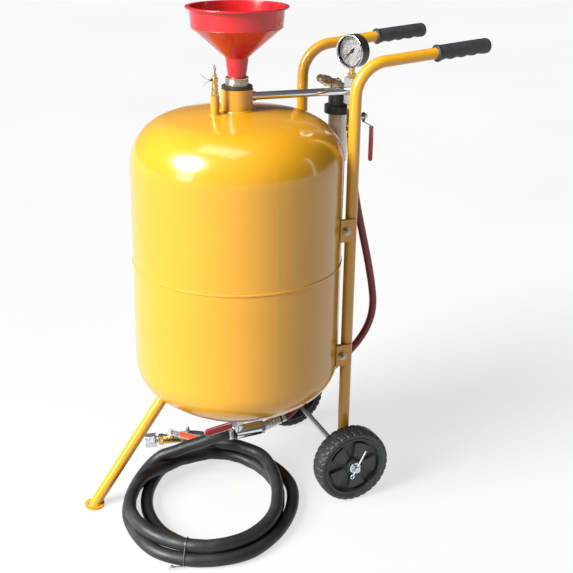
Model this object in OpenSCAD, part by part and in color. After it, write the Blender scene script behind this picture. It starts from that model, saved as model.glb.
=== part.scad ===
// Pressure blast pot on a two-wheeled hand truck, with its air line, red air hose and blast hose.
// +Z is up, the handles point to +Y, the front leg to -Y and the near wheel is on +X.
// The origin is on the floor under the middle of the machine, measured without the blast hose.

/* [Tank] */
// Outer radius of the tank
tank_r = 200; // [150:1:260]
// Thickness of the tank wall
wall = 3; // [2:0.5:6]
// Height of the girth seam above the floor
seam_z = 486.5; // [400:0.5:560]
// Height where the top head starts to curve
top_knuckle_z = 676; // [600:1:720]
// Corner radius of the top head
top_knuckle_r = 87; // [40:1:110]
// Crown radius of the top head
top_crown_r = 700; // [300:10:900]
// Height where the bottom head starts to curve
low_knuckle_z = 282; // [240:1:340]
// Corner radius of the bottom head
low_knuckle_r = 68; // [40:1:110]
// Crown radius of the bottom head
low_crown_r = 270; // [220:5:700]

/* [Filler and funnel] */
// Outer radius of the filler neck
neck_r = 30; // [20:0.5:40]
// Height of the top of the filler neck
neck_top = 813; // [790:1:840]
// Radius of the funnel rim
funnel_r = 93.6; // [60:0.1:120]
// Height of the funnel rim
funnel_top = 962; // [900:1:1000]
// How far the funnel lifts out
funnel_lift = 60; // [20:1:120]

/* [Truck] */
// Outer radius of the uprights and of the front leg
tube_r = 11; // [8:0.5:16]
// Distance of each upright from the middle plane
upright_x = 114; // [90:1:140]
// Distance of the uprights behind the tank axis
upright_y = 184; // [175:1:220]
// Height where the uprights start to bend back
bend_z = 804; // [740:1:860]
// Centreline radius of the handle bend
bend_r = 62; // [40:1:90]
// Rise of the handles above level, in degrees
handle_rise = 4.5; // [0:0.5:15]
// Distance of the grip ends behind the tank axis
grip_end_y = 457; // [400:1:520]
// Length of a grip
grip_len = 112; // [90:1:140]

/* [Running gear] */
// Radius of the wheels
wheel_r = 75; // [60:0.5:100]
// Width of the wheels
wheel_w = 38; // [25:0.5:50]
// Outer face of the wheels from the middle plane
wheel_x = 168.5; // [150:0.5:200]
// Radius of the axle
axle_r = 6; // [5:0.5:10]
// Distance of the foot in front of the tank axis
foot_y = 301; // [240:1:340]
// Radius of the foot disc
foot_r = 19; // [12:0.5:30]

/* [Air line] */
// Height of the air line
line_z = 797; // [780:1:840]
// Distance of the manifold behind the tank axis
line_y = 222; // [210:1:260]
// Radius of the gauge case
gauge_r = 31; // [20:0.5:40]
// Height of the gauge centre
gauge_z = 872; // [850:1:900]
// Angle by which the dial turns to the near side
gauge_turn = 23; // [0:1:60]

/* [Blast hose] */
// Outer radius of the blast hose
hose_r = 12.25; // [10:0.25:16]
// Mean radius of the coil on the floor
coil_r = 153; // [120:1:200]
// Distance of the coil centre to the near side
coil_x = 94; // [0:1:120]
// Distance of the coil centre in front of the tank axis
coil_y = -85; // [-140:1:0]

/* [Hidden] */
// Running clearance of stems, sliding rods and wheel bores
fit = 0.05;
// The tank axis lies in front of the middle between the foot and the grips
tank_y = (foot_y + foot_r - grip_end_y) / 2;
// Top of the dished top head and bottom of the bottom head
dome_top = top_knuckle_z + head_depth(top_knuckle_r, top_crown_r);
dome_low = low_knuckle_z - head_depth(low_knuckle_r, low_crown_r);
// Far end of the handle bend
bend_end_y = upright_y + bend_r * (1 - sin(handle_rise));
bend_end_z = bend_z + bend_r * cos(handle_rise);
handle_len = (grip_end_y - 1 - bend_end_y) / cos(handle_rise);
// The straight handle starts this much thinner and a little way inside the bend
sleeve_step = 0.2;
// Blast valve group under the tank
tee_z = 99;
tee_r = 14;
meter_z = 137;
// Air valves, filter and gauge
block_x = 25;
filter_x = -28;
inlet_x = -66;
hose_valve_z = 747;
hose_valve_x = 30;
// Nozzle valve at the free end of the blast hose
nozzle_pos = [-114, -104, 42];
nozzle_turn = 22;
nozzle_droop = 7;
nozzle_lever_turn = 23;
nozzle_roll = 30;
nozzle_len = 58;
// Axis of the front leg
leg_top = [0, -166, 195];
leg_foot = [0, -foot_y, 4];
// Split pins lean in the plane of the wheel
pin_lean = 28;
// Finish colours
yellow = [0.95, 0.72, 0.10];
black = [0.10, 0.10, 0.11];
steel = [0.72, 0.73, 0.75];
chrome = [0.80, 0.81, 0.83];
brass = [0.78, 0.60, 0.28];
red = [0.86, 0.12, 0.10];
orange = [0.95, 0.30, 0.18];
hose_red = [0.50, 0.10, 0.12];
white = [0.93, 0.93, 0.92];
bronze = [0.66, 0.60, 0.50];
glass = [0.85, 0.90, 0.92];
// Route of the red air hose, from the valve under the manifold to the tail behind the tee
red_route = [
    [30, 222, 722], [30, 222, 700], [30, 225, 665], [30, 230, 625], [30, 237, 585], [30, 246, 545],
    [30, 256, 505], [30, 266, 465], [30, 275, 425], [30, 282, 388], [29, 286, 350], [27, 281, 314],
    [24, 266, 281], [20, 245, 253], [15, 220, 227], [10, 193, 200], [6, 167, 172], [3, 144, 145],
    [1, 126, 125], [0, 111, 113], [0, 95, 109],
];
// Route of the blast hose from the tee to the coil
lead_route = [
    [0, -4, 99], [0, -30, 99], [-6, -60, 92], [-20, -92, 74], [-36, -122, 52], [-44, -150, 32],
];
// Route of the blast hose from the coil to the nozzle valve
tail_route = [
    [-28, 12, 36], [-46, -14, 45], [-66, -34, 49], [-84, -47, 49], [-97.4, -63, 47.4],
    [-103.2, -77.3, 45.5],
];

$fn = 64;

// ---- helpers ----

function head_depth(kr, cr) = cr - sqrt(pow(cr - kr, 2) - pow(tank_r - kr, 2));

// Everything is laid out around the tank axis and then moved to the machine's own origin
module at_tank() {
    translate([0, tank_y, 0])
        children();
}

module mirror_x(side) {
    if (side > 0) {
        children();
    } else {
        mirror([1, 0, 0])
            children();
    }
}

// Half section of a dished end: skirt below z = 0, then a knuckle and a crown that meet tangent
module head_2d(r, kr, cr, skirt) {
    low = sqrt(pow(cr - kr, 2) - pow(r - kr, 2));
    a = asin((r - kr) / (cr - kr));
    translate([0, -skirt])
        square([r, skirt]);
    intersection() {
        translate([r - kr, 0])
            circle(r = kr, $fn = 128);
        translate([r - kr, 0])
            square([kr, kr]);
    }
    intersection() {
        translate([0, -low])
            circle(r = cr, $fn = 256);
        polygon([[0, -1], [r - kr, -1], [r - kr, 0], [cr * sin(a), cr * cos(a) - low], [0, cr]]);
    }
    intersection() {
        translate([r - kr, 0])
            circle(r = kr, $fn = 128);
        polygon([[r - kr, 0], [cr * sin(a), cr * cos(a) - low], [r - kr + 1, cr], [r - kr, cr]]);
    }
}

// A rod between two points
module rod(a, b, r) {
    v = b - a;
    translate(a)
        rotate([0, acos(v[2] / norm(v)), atan2(v[1], v[0])])
            cylinder(r = r, h = norm(v));
}

module cylinder_between(z0, z1, r) {
    translate([0, 0, z0])
        cylinder(r = r, h = z1 - z0);
}

module pipe_z(r, bore, h) {
    difference() {
        cylinder(r = r, h = h);
        translate([0, 0, -1])
            cylinder(r = bore, h = h + 2);
    }
}

// Puts a piece modelled with its flow along X and its stem along Z at a place in the air line
module at_valve(pos, flow, stem) {
    side = cross(stem, flow);
    multmatrix([
        [flow[0], side[0], stem[0], pos[0]],
        [flow[1], side[1], stem[1], pos[1]],
        [flow[2], side[2], stem[2], pos[2]],
        [0, 0, 0, 1],
    ])
        children();
}

module at_inlet_valve() at_valve([inlet_x, line_y, line_z], [1, 0, 0], [0, 1, 0]) children();

module at_hose_valve() at_valve([hose_valve_x, line_y, hose_valve_z], [0, 0, -1], [0, 1, 0]) children();

module at_metering_valve() at_valve([0, 0, meter_z], [0, 0, -1], [1, 0, 0]) children();

module at_nozzle_valve() {
    translate(nozzle_pos)
        rotate([0, 0, -90 - nozzle_turn])
            rotate([0, nozzle_droop, 0])
                rotate([-nozzle_roll, 0, 0])
                    children();
}

// Ball valve body: hex ends, a round middle and a boss for the stem
module valve_body(len, r, bore, lever_z) {
    difference() {
        union() {
            rotate([0, 90, 0])
                cylinder(r = r * 0.86, h = len, center = true);
            for (end = [-1, 1])
                translate([end * (len / 2 - 5), 0, 0])
                    rotate([0, 90, 0])
                        cylinder(r = r, h = 10, center = true, $fn = 6);
            cylinder(r = r * 0.5, h = lever_z - 0.5);
        }
        rotate([0, 90, 0])
            cylinder(r = bore, h = len + 2, center = true);
        sphere(r = r * 0.66 + 0.3);
        cylinder(r = 2.5 + fit, h = lever_z + 6);
    }
}

// Ball with its stem and the nut that holds the lever
module valve_ball(r, bore, lever_z) {
    difference() {
        union() {
            sphere(r = r * 0.66);
            cylinder(r = 2.5, h = lever_z + 8);
            translate([0, 0, lever_z + 2])
                cylinder(r = 5, h = 4, $fn = 6);
        }
        rotate([0, 90, 0])
            cylinder(r = bore, h = 2 * r, center = true);
    }
}

// Flat lever along X from its stem at the origin, cranked up to a thick dipped grip
module valve_lever(len, rise, w) {
    t = 2;
    difference() {
        intersection() {
            rotate([90, 0, 0])
                translate([0, 0, -w / 2])
                    linear_extrude(height = w)
                        polygon([[-8, 0], [11, 0], [21, rise], [24, rise - 1.2], [len, rise - 1.2],
                            [len, rise + t + 1.2], [24, rise + t + 1.2], [20.2, rise + t], [10.2, t],
                            [-8, t]]);
            union() {
                cylinder(r = 8, h = 40, center = true);
                translate([0, -w * 0.38, -20])
                    cube([24, w * 0.76, 40]);
                translate([22, -w / 2, -20])
                    cube([len - 22 - w / 2, w, 40]);
                translate([len - w / 2, 0, 0])
                    cylinder(r = w / 2, h = 40, center = true);
            }
        }
        cylinder(r = 2.5, h = 20, center = true);
    }
}

// Hose tube swept along points, each ring square to the route
function dir_at(p, i) = let (v = p[min(i + 1, len(p) - 1)] - p[max(i - 1, 0)]) v / norm(v);
function ring_at(p, i, r, n) = let (
    d = dir_at(p, i),
    s = cross(d, abs(d[0]) < 0.9 ? [1, 0, 0] : [0, 1, 0]),
    u = s / norm(s),
    w = cross(d, u)
) [for (k = [0:n - 1]) p[i] + r * (cos(360 * k / n) * u + sin(360 * k / n) * w)];

module hose(p, r, n) {
    pts = [for (i = [0:len(p) - 1]) each ring_at(p, i, r, n)];
    last = (len(p) - 1) * n;
    faces = concat(
        [[for (k = [0:n - 1]) k]],
        [for (i = [0:len(p) - 2], k = [0:n - 1])
            [i * n + k, (i + 1) * n + k, (i + 1) * n + (k + 1) % n, i * n + (k + 1) % n]],
        [[for (k = [n - 1:-1:0]) last + k]]
    );
    polyhedron(points = pts, faces = faces);
}

// ---- tank ----

module head_solid(kr, cr, skirt) {
    rotate_extrude($fn = 128)
        head_2d(tank_r, kr, cr, skirt);
}

module head_shell(kr, cr, skirt) {
    rotate_extrude($fn = 128)
        difference() {
            head_2d(tank_r, kr, cr, skirt);
            head_2d(tank_r - wall, kr - wall, cr - wall, skirt + 1);
        }
}

module tank_upper_shell() at_tank() {
    color(yellow)
        difference() {
            translate([0, 0, top_knuckle_z])
                head_shell(top_knuckle_r, top_crown_r, top_knuckle_z - seam_z);
            translate([0, 0, dome_top - 30])
                cylinder(r = neck_r, h = 60);
            translate([20, -50, dome_top - 30])
                cylinder(r = 8, h = 60);
        }
}

module tank_lower_shell() at_tank() {
    color(yellow)
        difference() {
            translate([0, 0, low_knuckle_z])
                mirror([0, 0, 1])
                    head_shell(low_knuckle_r, low_crown_r, seam_z - low_knuckle_z);
            translate([0, 0, dome_low - 10])
                cylinder(r = 13, h = 40);
        }
}

module girth_weld() at_tank() {
    color(yellow)
        translate([0, 0, seam_z])
            rotate_extrude($fn = 128)
                translate([tank_r, -2.5])
                    polygon([[0, 0], [1, 0.6], [1.5, 2.5], [1, 4.4], [0, 5]]);
}

module filler_neck() at_tank() {
    color(yellow)
        difference() {
            translate([0, 0, dome_top - 20])
                cylinder(r = neck_r, h = neck_top - dome_top + 20);
            translate([0, 0, dome_top - 21])
                cylinder(r = neck_r - 5, h = 60 - wall);
            translate([0, 0, neck_top - 8])
                cylinder(r = 18, h = 9);
        }
    // Spider that guides the plunger's stem
    color(yellow)
        translate([0, 0, dome_top - 18])
            difference() {
                union() {
                    cylinder(r = 7, h = 6);
                    intersection() {
                        translate([-neck_r, -3, 0])
                            cube([2 * neck_r, 6, 6]);
                        cylinder(r = neck_r - 4, h = 6);
                    }
                }
                translate([0, 0, -1])
                    cylinder(r = 4 + fit, h = 8);
            }
}

module neck_gasket() at_tank() {
    color(black)
        translate([0, 0, neck_top])
            pipe_z(neck_r - 1.5, 18, 6);
}

module funnel_collar() at_tank() {
    color(steel)
        translate([0, 0, neck_top + 6])
            difference() {
                union() {
                    cylinder(r = 22, h = 3);
                    cylinder(r = 20.5, h = 15);
                    translate([0, 0, 12])
                        cylinder(r = 21.2, h = 3);
                }
                translate([0, 0, -1])
                    cylinder(r = 17, h = 20);
            }
}

module funnel() at_tank() {
    spout_z = neck_top + 14;
    color(red)
        rotate_extrude($fn = 96)
            polygon([[14, spout_z], [16.1, spout_z], [16.7, spout_z + 7], [21.5, 870], [83.5, 925],
                [86.5, 958], [funnel_r, 958.5], [funnel_r, funnel_top], [84.6, funnel_top],
                [81.6, 926.2], [19.3, 871], [14.6, spout_z + 7]]);
}

module closing_plunger() at_tank() {
    seat_z = dome_top - 21 + 60 - wall;
    color(black)
        translate([0, 0, seat_z - 10])
            cylinder(r1 = 21, r2 = 17, h = 4);
    color(steel)
        translate([0, 0, seat_z - 62])
            cylinder(r = 4, h = 53);
}

module relief_socket() at_tank() {
    color(yellow)
        translate([20, -50, dome_top - 12])
            pipe_z(8, 4, 806 - dome_top + 12);
}

module relief_valve_body() at_tank() {
    color(brass)
        translate([20, -50, 806])
            difference() {
                union() {
                    cylinder(r = 7, h = 7, $fn = 6);
                    cylinder(r = 5, h = 34);
                    translate([0, 0, 27])
                        cylinder(r = 6, h = 6);
                    translate([0, 0, 34])
                        cylinder(r = 3.4, h = 6);
                }
                translate([0, 0, -1])
                    cylinder(r = 1.5 + fit, h = 60);
            }
}

module relief_rod() at_tank() {
    color(steel)
        translate([20, -50, 808]) {
            cylinder(r = 1.5, h = 46);
            translate([0, 0, 48.5])
                rotate([90, 0, 0])
                    rotate_extrude($fn = 48)
                        translate([4, 0])
                            circle(r = 0.9, $fn = 24);
        }
}

module outlet_nipple() at_tank() {
    color(steel)
        translate([0, 0, meter_z + 19.5])
            difference() {
                union() {
                    cylinder(r = 13, h = dome_low + 8 - meter_z - 19.5);
                    cylinder(r = 14.5, h = 7, $fn = 6);
                }
                translate([0, 0, -1])
                    cylinder(r = 8, h = 60);
            }
}

module tank_tabs() at_tank() {
    color(yellow)
        for (side = [-1, 1], z = [557, 302])
            mirror_x(side)
                difference() {
                    translate([upright_x + 4, 140, z - 21])
                        cube([tube_r - 4, 33.5, 42]);
                    cylinder(r = tank_r, h = 700, $fn = 360);
                    translate([upright_x - 2, 168, z])
                        rotate([0, 90, 0])
                            cylinder(r = 4, h = 30);
                    translate([upright_x, upright_y, z - 30])
                        cylinder(r = tube_r, h = 60);
                }
}

module tab_bolts(z) {
    for (side = [-1, 1])
        mirror_x(side)
            translate([upright_x + 4, 168, z])
                rotate([0, 90, 0]) {
                    translate([0, 0, -2])
                        cylinder(r = 4, h = tube_r + 1);
                    translate([0, 0, tube_r - 1])
                        cylinder(r = 8, h = 1.5);
                    translate([0, 0, tube_r + 0.5])
                        cylinder(r = 6.8, h = 5, $fn = 6);
                    translate([0, 0, tube_r + 5.5])
                        cylinder(r = 4, h = 2.5);
                }
}

module upper_bolts() at_tank() {
    color(steel)
        tab_bolts(557);
}

module lower_bolts() at_tank() {
    color(steel)
        tab_bolts(302);
}

// ---- truck ----

module front_leg() at_tank() {
    color(yellow)
        difference() {
            rod(leg_foot + [0, -6, -9.6], leg_top + (leg_top - leg_foot) * 0.2, tube_r);
            rod(leg_foot + [0, -6, -9.6], leg_top + (leg_top - leg_foot) * 0.02, tube_r - 2);
            translate([0, 0, low_knuckle_z])
                mirror([0, 0, 1])
                    head_solid(low_knuckle_r, low_crown_r, 200);
            translate([-50, -foot_y - 50, -46])
                cube([100, 100, 50]);
        }
}

module foot_disc() at_tank() {
    color(yellow)
        translate([0, -foot_y, 0])
            cylinder(r = foot_r, h = 4);
}

// Bent tube of one upright, solid or as its bore
module upright_path(r, over) {
    translate([upright_x, upright_y, wheel_r - 14 - over])
        cylinder(r = r, h = bend_z - wheel_r + 14 + over);
    translate([upright_x, upright_y + bend_r, bend_z])
        rotate([90, 0, -90])
            rotate_extrude(angle = 90 - handle_rise, $fn = 96)
                translate([bend_r, 0])
                    circle(r = r, $fn = 48);
    translate([upright_x, bend_end_y, bend_end_z])
        rotate([handle_rise - 90, 0, 0])
            translate([0, 0, -2])
                cylinder(r = r - sleeve_step, h = handle_len - 2 + over);
}

module upright() {
    difference() {
        union() {
            upright_path(tube_r, 0);
            // Plates welded to the outer side, bolted to the tank's tabs
            for (z = [557, 302])
                translate([upright_x + tube_r, 156, z - 21.5])
                    difference() {
                        translate([-1, 0, 0])
                            cube([4, 32, 43]);
                        translate([-2, -1, -1])
                            cube([2, 20, 45]);
                    }
        }
        upright_path(tube_r - 2, 1);
        translate([upright_x - 30, upright_y, wheel_r])
            rotate([0, 90, 0])
                cylinder(r = axle_r, h = 60);
        for (z = [557, 302])
            translate([upright_x + tube_r - 2, 168, z])
                rotate([0, 90, 0])
                    cylinder(r = 4, h = 20);
    }
}

module left_upright() at_tank() {
    color(yellow)
        mirror_x(-1)
            upright();
}

module right_upright() at_tank() {
    color(yellow)
        upright();
}

module grip() {
    translate([upright_x, bend_end_y, bend_end_z])
        rotate([handle_rise - 90, 0, 0])
            translate([0, 0, handle_len - grip_len])
                difference() {
                    union() {
                        cylinder(r = 14.5, h = grip_len - 4);
                        translate([0, 0, grip_len - 4])
                            cylinder(r = 12.5, h = 4);
                        cylinder(r = 16, h = 5);
                    }
                    translate([0, 0, -1])
                        cylinder(r = tube_r, h = grip_len - 3);
                    // Finger hollows on the underside
                    for (i = [0:3])
                        translate([-30, 24.5, 18 + 24 * i])
                            rotate([0, 90, 0])
                                cylinder(r = 12, h = 60);
                }
}

module left_grip() at_tank() {
    color(black)
        mirror_x(-1)
            grip();
}

module right_grip() at_tank() {
    color(black)
        grip();
}

// ---- running gear ----

module at_wheel(side) {
    mirror_x(side)
        translate([wheel_x - wheel_w / 2, upright_y, wheel_r])
            rotate([0, 90, 0])
                children();
}

module axle() at_tank() {
    color(steel)
        difference() {
            translate([-181, upright_y, wheel_r])
                rotate([0, 90, 0])
                    cylinder(r = axle_r, h = 362);
            for (side = [-1, 1])
                translate([side * 176, upright_y, wheel_r])
                    rotate([-pin_lean, 0, 0])
                        translate([0, 0, -20])
                            cylinder(r = 1.6, h = 40);
        }
}

module split_pins() at_tank() {
    color(steel)
        for (side = [-1, 1])
            translate([side * 176, upright_y, wheel_r])
                rotate([-pin_lean, 0, 0]) {
                    translate([0, 0, -14])
                        cylinder(r = 1.6, h = 56);
                    translate([0, 0, -17.5])
                        rotate([0, 90, 0])
                            rotate_extrude($fn = 48)
                                translate([3.6, 0])
                                    circle(r = 1.2, $fn = 24);
                }
}

module wheel() {
    difference() {
        union() {
            pipe_z(14, 4, 20);
            translate([0, 0, -22])
                cylinder(r = 12, h = 25);
            translate([0, 0, 2])
                cylinder(r = 60, h = 5);
            translate([0, 0, -17])
                pipe_z(62, 57, 34);
            // Raised sectors on the dished face
            for (i = [0:4])
                rotate([0, 0, 72 * i + 12])
                    intersection() {
                        translate([0, 0, 6])
                            pipe_z(50, 19, 7);
                        translate([0, 0, 6])
                            linear_extrude(height = 7)
                                polygon([[0, 0], [60, -22], [60, 22]]);
                    }
        }
        translate([0, 0, -30])
            cylinder(r = axle_r + 0.08, h = 60);
    }
}

module tyre() {
    shoulder = 12;
    translate([0, 0, -wheel_w / 2 + shoulder])
        pipe_z(wheel_r, 62, wheel_w - 2 * shoulder);
    for (z = [-wheel_w / 2, wheel_w / 2 - shoulder])
        translate([0, 0, z])
            linear_extrude(height = shoulder)
                difference() {
                    circle(r = wheel_r - 0.6, $fn = 96);
                    circle(r = 62, $fn = 96);
                    for (i = [0:31])
                        rotate(i * 360 / 32)
                            translate([wheel_r - 3.5, -2.2])
                                square([8, 4.4]);
                }
}

module left_wheel() at_tank() {
    color(black)
        at_wheel(-1)
            wheel();
}

module right_wheel() at_tank() {
    color(black)
        at_wheel(1)
            wheel();
}

module left_tyre() at_tank() {
    color(black)
        at_wheel(-1)
            tyre();
}

module right_tyre() at_tank() {
    color(black)
        at_wheel(1)
            tyre();
}

// ---- air line ----

module feed_pipe() at_tank() {
    turn = atan2(block_x - 3, line_y - 9);
    color(chrome)
        difference() {
            translate([0, 0, line_z])
                rotate([-90, 0, -turn])
                    difference() {
                        union() {
                            cylinder(r = 7.4, h = 230);
                            translate([0, 0, neck_r - 4])
                                cylinder(r = 9, h = 9);
                        }
                        cylinder(r = 5, h = 240);
                    }
            cylinder(r = neck_r, h = 900);
            translate([-50, line_y - 9, line_z - 30])
                cube([200, 100, 60]);
        }
}

module manifold_block() at_tank() {
    color(white)
        difference() {
            translate([block_x - 14, line_y - 9, 772])
                cube([28, 18, 50]);
            translate([block_x + 3, line_y, 760])
                cylinder(r = 5, h = 50);
            translate([block_x - 3, line_y - 20, line_z])
                rotate([-90, 0, 0])
                    cylinder(r = 5, h = 20);
            translate([block_x - 20, line_y, line_z])
                rotate([0, 90, 0])
                    cylinder(r = 5, h = 20);
        }
}

module at_gauge() {
    translate([block_x - 1, line_y, gauge_z])
        rotate([0, 0, gauge_turn])
            rotate([90, 0, 0])
                children();
}

module gauge_stem() at_tank() {
    color(brass)
        difference() {
            union() {
                translate([block_x - 1, line_y, 822])
                    cylinder(r = 8.5, h = 8, $fn = 6);
                translate([block_x - 1, line_y, 822])
                    cylinder(r = 5.5, h = 24);
            }
            at_gauge()
                translate([0, 0, -12])
                    cylinder(r = gauge_r, h = 30);
        }
}

module gauge_case() at_tank() {
    color(black)
        at_gauge()
            difference() {
                translate([0, 0, -11])
                    cylinder(r = gauge_r, h = 20);
                translate([0, 0, 1])
                    cylinder(r = gauge_r - 2, h = 10);
            }
}

module gauge_bezel() at_tank() {
    color(chrome)
        at_gauge()
            translate([0, 0, 9])
                pipe_z(gauge_r + 0.6, gauge_r - 2.6, 3);
}

module gauge_dial() at_tank() {
    color(white)
        at_gauge() {
            translate([0, 0, 1])
                cylinder(r = gauge_r - 2, h = 1);
            translate([0, 0, 2])
                cylinder(r = 0.9, h = 3.4);
        }
}

module gauge_lens() at_tank() {
    color(glass)
        at_gauge()
            translate([0, 0, 7.4])
                cylinder(r = gauge_r - 2, h = 1.6);
}

module gauge_needle() at_tank() {
    color(black)
        at_gauge()
            rotate([0, 0, 223])
                difference() {
                    union() {
                        translate([0, 0, 3.6])
                            linear_extrude(height = 0.6)
                                polygon([[-8, -1.6], [0, -1.4], [23, -0.3], [23, 0.3], [0, 1.4],
                                    [-8, 1.6]]);
                        translate([0, 0, 3.2])
                            cylinder(r = 3, h = 1.4);
                    }
                    cylinder(r = 0.9 + fit, h = 10);
                }
}

module filter_head() at_tank() {
    color(black)
        translate([filter_x, line_y, 0])
            difference() {
                union() {
                    translate([0, 0, 760])
                        cylinder(r = 20, h = 26);
                    translate([0, 0, 786])
                        cylinder(r = 10, h = 2.4);
                }
                translate([0, 0, 750])
                    cylinder(r = 5, h = 50);
            }
}

module filter_ring() at_tank() {
    color(black)
        translate([filter_x, line_y, 745])
            difference() {
                cylinder(r = 27.5, h = 15);
                translate([0, 0, -1])
                    cylinder(r = 19, h = 17);
                for (i = [0:17])
                    rotate([0, 0, 20 * i])
                        translate([27, -1, 3])
                            cube([4, 2, 9]);
            }
}

module filter_bowl() at_tank() {
    color(bronze)
        translate([filter_x, line_y, 0])
            difference() {
                union() {
                    translate([0, 0, 650])
                        cylinder(r = 19, h = 110);
                    translate([0, 0, 642])
                        cylinder(r1 = 12, r2 = 19, h = 8);
                }
                translate([0, 0, 652])
                    cylinder(r = 16.5, h = 120);
                translate([0, 0, 640])
                    cylinder(r = 3 + fit, h = 20);
            }
}

module drain_cock() at_tank() {
    color(brass)
        translate([filter_x, line_y, 0])
            difference() {
                union() {
                    translate([0, 0, 628])
                        cylinder(r = 3, h = 23);
                    translate([0, 0, 628])
                        cylinder(r = 5.5, h = 13.6);
                    translate([-11, -1.5, 629])
                        cube([22, 3, 8]);
                }
                translate([0, 0, 620])
                    cylinder(r = 1.2, h = 40);
            }
}

module inlet_valve_body() at_tank() {
    color(chrome)
        at_inlet_valve()
            valve_body(40, 11, 5, 16);
    // Ports that carry the air over the filter head to the manifold
    color(chrome)
        difference() {
            union() {
                translate([inlet_x + 20, line_y, line_z])
                    rotate([0, 90, 0])
                        cylinder(r = 8.5, h = block_x - 14 - inlet_x - 20);
                translate([filter_x, line_y, 788.4])
                    cylinder(r = 10, h = 12.6);
            }
            translate([inlet_x, line_y, line_z])
                rotate([0, 90, 0])
                    cylinder(r = 5, h = 120);
            translate([filter_x, line_y, 780])
                cylinder(r = 5, h = 17);
        }
}

module inlet_ball() at_tank() {
    color(steel)
        at_inlet_valve()
            valve_ball(11, 5, 16);
}

module inlet_lever() at_tank() {
    color(red)
        at_inlet_valve()
            translate([0, 0, 16])
                rotate([0, 0, 90])
                    valve_lever(90, 6, 11);
}

module inlet_nipple() at_tank() {
    color(brass)
        translate([inlet_x - 20, line_y, line_z])
            rotate([0, -90, 0])
                difference() {
                    union() {
                        cylinder(r = 11, h = 9, $fn = 6);
                        cylinder(r = 6.5, h = 30);
                        translate([0, 0, 24])
                            cylinder(r = 8, h = 4);
                    }
                    translate([0, 0, -1])
                        cylinder(r = 4, h = 40);
                }
}

module hose_valve_body() at_tank() {
    color(steel)
        at_hose_valve()
            valve_body(50, 12, 5.5, 24);
}

module hose_ball() at_tank() {
    color(steel)
        at_hose_valve()
            valve_ball(12, 5.5, 24);
}

module hose_lever() at_tank() {
    color(red)
        at_hose_valve()
            translate([0, 0, 24])
                valve_lever(90, 18, 11);
}

// ---- blast valve group ----

module metering_valve_body() at_tank() {
    color(steel)
        at_metering_valve()
            valve_body(39, 12.5, 7, 22);
}

module metering_ball() at_tank() {
    color(steel)
        at_metering_valve()
            rotate([0, 0, -83])
                valve_ball(12.5, 7, 22);
}

module metering_lever() at_tank() {
    color(red)
        at_metering_valve()
            translate([0, 0, 22])
                rotate([0, 0, -83])
                    valve_lever(80, 4, 15);
}

module mixing_tee() at_tank() {
    color(chrome)
        difference() {
            union() {
                translate([0, -4, tee_z])
                    rotate([-90, 0, 0])
                        cylinder(r = tee_r, h = 54);
                cylinder_between(tee_z, meter_z - 19.5, 12);
            }
            translate([0, -10, tee_z])
                rotate([-90, 0, 0])
                    cylinder(r = 8, h = 70);
            cylinder_between(tee_z, meter_z, 7);
        }
}

module hose_tail() at_tank() {
    color(steel)
        difference() {
            union() {
                translate([0, 50, tee_z])
                    rotate([-90, 0, 0])
                        cylinder(r = 13, h = 9, $fn = 6);
                rod([0, 56, 99.3], [0, 95, 109], 9.5);
            }
            translate([0, 49, tee_z])
                rotate([-90, 0, 0])
                    cylinder(r = 5, h = 7);
            rod([0, 50, 97.8], [0, 99, 110], 5);
        }
}

// ---- hoses ----

module red_hose() at_tank() {
    color(hose_red)
        hose(red_route, 7.5, 10);
}

module blast_hose_lead() at_tank() {
    color(black)
        hose(lead_route, hose_r, 12);
}

module blast_hose_coil() at_tank() {
    color(black)
        translate([coil_x, coil_y, 0])
            rotate_extrude($fn = 128)
                translate([coil_r - 33, 0])
                    square([66, 43]);
}

module blast_hose_end() at_tank() {
    color(black)
        hose(tail_route, hose_r, 12);
}

module nozzle_valve_body() at_tank() {
    color(brass)
        at_nozzle_valve()
            valve_body(nozzle_len, 12, 6, 24);
}

module nozzle_ball() at_tank() {
    color(steel)
        at_nozzle_valve()
            rotate([0, 0, -nozzle_lever_turn])
                valve_ball(12, 6, 24);
}

module nozzle_lever() at_tank() {
    color(orange)
        at_nozzle_valve()
            translate([0, 0, 24])
                rotate([0, 0, 180 - nozzle_lever_turn])
                    valve_lever(90, 3, 16);
}

module nozzle() at_tank() {
    color(steel)
        at_nozzle_valve()
            translate([nozzle_len / 2, 0, 0])
                rotate([0, 90, 0])
                    difference() {
                        union() {
                            cylinder(r = 8, h = 29);
                            translate([0, 0, 6])
                                cylinder(r = 15, h = 23, $fn = 6);
                        }
                        translate([0, 0, -1])
                            cylinder(r = 3, h = 40);
                    }
}

// ---- what is drawn ----

tank_upper_shell();
tank_lower_shell();
girth_weld();
filler_neck();
neck_gasket();
funnel_collar();
funnel();
closing_plunger();
relief_socket();
relief_valve_body();
relief_rod();
feed_pipe();
tank_tabs();
upper_bolts();
lower_bolts();
front_leg();
foot_disc();
outlet_nipple();
left_upright();
right_upright();
left_grip();
right_grip();
axle();
split_pins();
left_wheel();
right_wheel();
left_tyre();
right_tyre();
manifold_block();
gauge_stem();
gauge_case();
gauge_bezel();
gauge_dial();
gauge_lens();
gauge_needle();
filter_head();
filter_ring();
filter_bowl();
drain_cock();
inlet_valve_body();
inlet_nipple();
inlet_ball();
inlet_lever();
hose_valve_body();
hose_ball();
hose_lever();
metering_valve_body();
metering_ball();
metering_lever();
mixing_tee();
hose_tail();
red_hose();
blast_hose_lead();
blast_hose_coil();
blast_hose_end();
nozzle_valve_body();
nozzle_ball();
nozzle_lever();
nozzle();
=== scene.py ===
"""Looks for the pressure blast pot on its hand truck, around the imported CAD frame."""
import math

import bpy
import numpy as np
from mathutils import Matrix, Vector
from mathutils.bvhtree import BVHTree


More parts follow.
